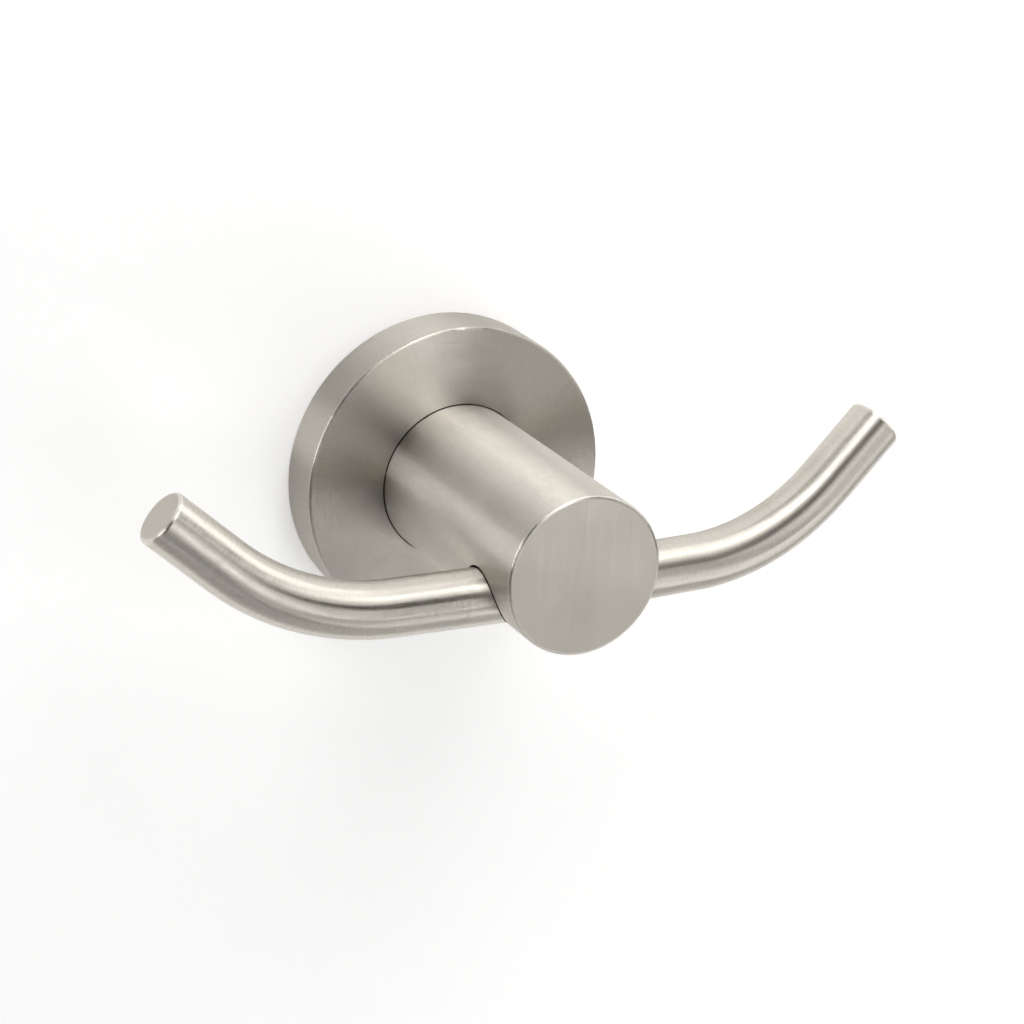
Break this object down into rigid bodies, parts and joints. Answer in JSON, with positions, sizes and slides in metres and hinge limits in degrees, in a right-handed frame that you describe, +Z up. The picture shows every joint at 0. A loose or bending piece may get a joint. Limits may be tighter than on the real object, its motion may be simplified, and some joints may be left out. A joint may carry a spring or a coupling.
{
  "type": "clothes hook",
  "caption": "Wall-mounted double clothes hook: a round flange, a round post and bent rod arms that curve upward on both sides, in satin nickel.",
  "frame": {"origin": "centre of the flange's wall face", "axes": "+X to the right along the arms, +Y into the wall, +Z up"},
  "size_m": [0.1364, 0.0578, 0.055],
  "materials": {
    "flange_nickel": "satin nickel, brushed",
    "post_nickel": "satin nickel, brushed",
    "arm_nickel": "satin nickel, fine brushed",
    "screw_steel": "bright zinc plate",
    "bracket_steel": "zinc plate",
    "set_screw_steel": "dark oxide"
  },
  "bodies": {
    "root": {"wall_flange": "flange_nickel", "post": "post_nickel", "left_arm": "arm_nickel", "right_arm": "arm_nickel", "post_screw": "screw_steel", "lock_washer": "screw_steel", "wall_bracket": "bracket_steel", "set_screw": "set_screw_steel"}
  },
  "joints": []
}
